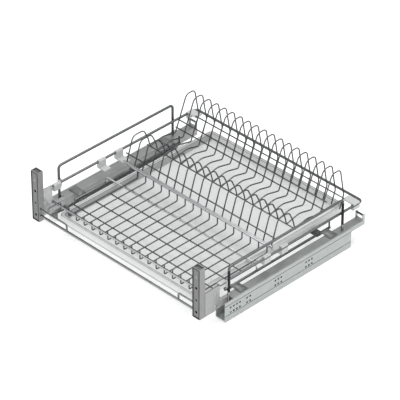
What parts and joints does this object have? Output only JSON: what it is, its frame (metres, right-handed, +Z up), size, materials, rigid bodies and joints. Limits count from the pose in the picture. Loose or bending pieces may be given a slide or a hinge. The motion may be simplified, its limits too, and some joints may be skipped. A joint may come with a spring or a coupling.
{
  "type": "pull-out dish rack",
  "caption": "Pull-out dish rack for a base cabinet: plate and cup racks of bent wire over a drip tray, in a rod frame on two full-extension undermount runners.",
  "frame": {"origin": "middle of the overall box in X and Y, at the bottom edges of the cabinet rails", "axes": "+X to the right as seen from the front, +Y into the cabinet, +Z up; the drawer pulls out along -Y"},
  "size_m": [0.564, 0.5187, 0.1802],
  "materials": {
    "chrome_wire": "bright chrome-plated wire",
    "rod_steel": "chrome-plated rod, slightly satin",
    "zinc_steel": "zinc-plated sheet steel, faintly green-grey",
    "post_metal": "mid grey satin coat",
    "strip_dark": "darker grey satin coat",
    "clip_plastic": "pale grey moulded plastic",
    "coupler_plastic": "mid grey moulded plastic",
    "tray_plastic": "pale grey moulded plastic"
  },
  "bodies": {
    "cabinet_rails": {"cabinet_rail_left": "zinc_steel", "cabinet_rail_right": "zinc_steel"},
    "mid_left": {"mid_rail_left": "zinc_steel"},
    "mid_right": {"mid_rail_right": "zinc_steel"},
    "drawer": {"perimeter_rod": "rod_steel", "front_cross_rod": "rod_steel", "under_crossbar": "rod_steel", "drip_tray": "tray_plastic", "drawer_rail_left": "zinc_steel", "side_bracket_left": "zinc_steel", "gallery_rail_left": "rod_steel", "side_carrier_left": "rod_steel", "post_left": "post_metal", "post_strip_left": "strip_dark", "front_coupler_left": "coupler_plastic", "clip_front_left": "clip_plastic", "clip_bar_left": "clip_plastic", "clip_middle_left": "clip_plastic", "clip_rear_left": "clip_plastic", "drawer_rail_right": "zinc_steel", "side_bracket_right": "zinc_steel", "gallery_rail_right": "rod_steel", "side_carrier_right": "rod_steel", "post_right": "post_metal", "post_strip_right": "strip_dark", "front_coupler_right": "coupler_plastic", "clip_front_right": "clip_plastic", "clip_bar_right": "clip_plastic", "clip_middle_right": "clip_plastic", "clip_rear_right": "clip_plastic"},
    "lever_left": {"release_lever_left": "coupler_plastic"},
    "lever_right": {"release_lever_right": "coupler_plastic"},
    "cup_rack": {"cup_rack": "chrome_wire"},
    "plate_rack": {"plate_wire_01": "chrome_wire", "plate_wire_02": "chrome_wire", "plate_wire_03": "chrome_wire", "plate_wire_04": "chrome_wire", "plate_wire_05": "chrome_wire", "plate_wire_06": "chrome_wire", "plate_wire_07": "chrome_wire", "plate_wire_08": "chrome_wire", "plate_wire_09": "chrome_wire", "plate_wire_10": "chrome_wire", "plate_wire_11": "chrome_wire", "plate_wire_12": "chrome_wire", "plate_wire_13": "chrome_wire", "plate_wire_14": "chrome_wire", "plate_wire_15": "chrome_wire", "plate_wire_16": "chrome_wire", "plate_wire_17": "chrome_wire", "plate_wire_18": "chrome_wire", "plate_wire_19": "chrome_wire", "plate_front_rim": "chrome_wire", "plate_mid_wire": "chrome_wire", "plate_valley_wire": "chrome_wire", "plate_floor_wire": "chrome_wire", "plate_back_wire": "chrome_wire", "plate_rear_wire": "chrome_wire"}
  },
  "joints": [
    {"name": "pull_out", "type": "slide", "parent": "cabinet_rails", "child": "drawer", "axis": [0, -1, 0], "range_m": [0, 0.4]},
    {"name": "mid_slide_left", "type": "slide", "parent": "cabinet_rails", "child": "mid_left", "axis": [0, -1, 0], "range_m": [0, 0.2]},
    {"name": "mid_slide_right", "type": "slide", "parent": "cabinet_rails", "child": "mid_right", "axis": [0, -1, 0], "range_m": [0, 0.2]},
    {"name": "cup_rack_lift", "type": "slide", "parent": "drawer", "child": "cup_rack", "axis": [0, 0, 1], "range_m": [0, 0.2]},
    {"name": "plate_rack_lift", "type": "slide", "parent": "drawer", "child": "plate_rack", "axis": [0, 0, 1], "range_m": [0, 0.2]},
    {"name": "lever_left", "type": "hinge", "parent": "drawer", "child": "lever_left", "pos_m": [-0.2517, -0.18535, 0.043], "axis": [0, 0, 1], "range_deg": [0, 14], "stiffness_Nm_per_rad": 0.1},
    {"name": "lever_right", "type": "hinge", "parent": "drawer", "child": "lever_right", "pos_m": [0.2517, -0.18535, 0.043], "axis": [0, 0, -1], "range_deg": [0, 14], "stiffness_Nm_per_rad": 0.1}
  ],
  "couplings": [
    {"joint": "mid_slide_left", "follows": "pull_out", "ratio": 0.5},
    {"joint": "mid_slide_right", "follows": "pull_out", "ratio": 0.5}
  ]
}
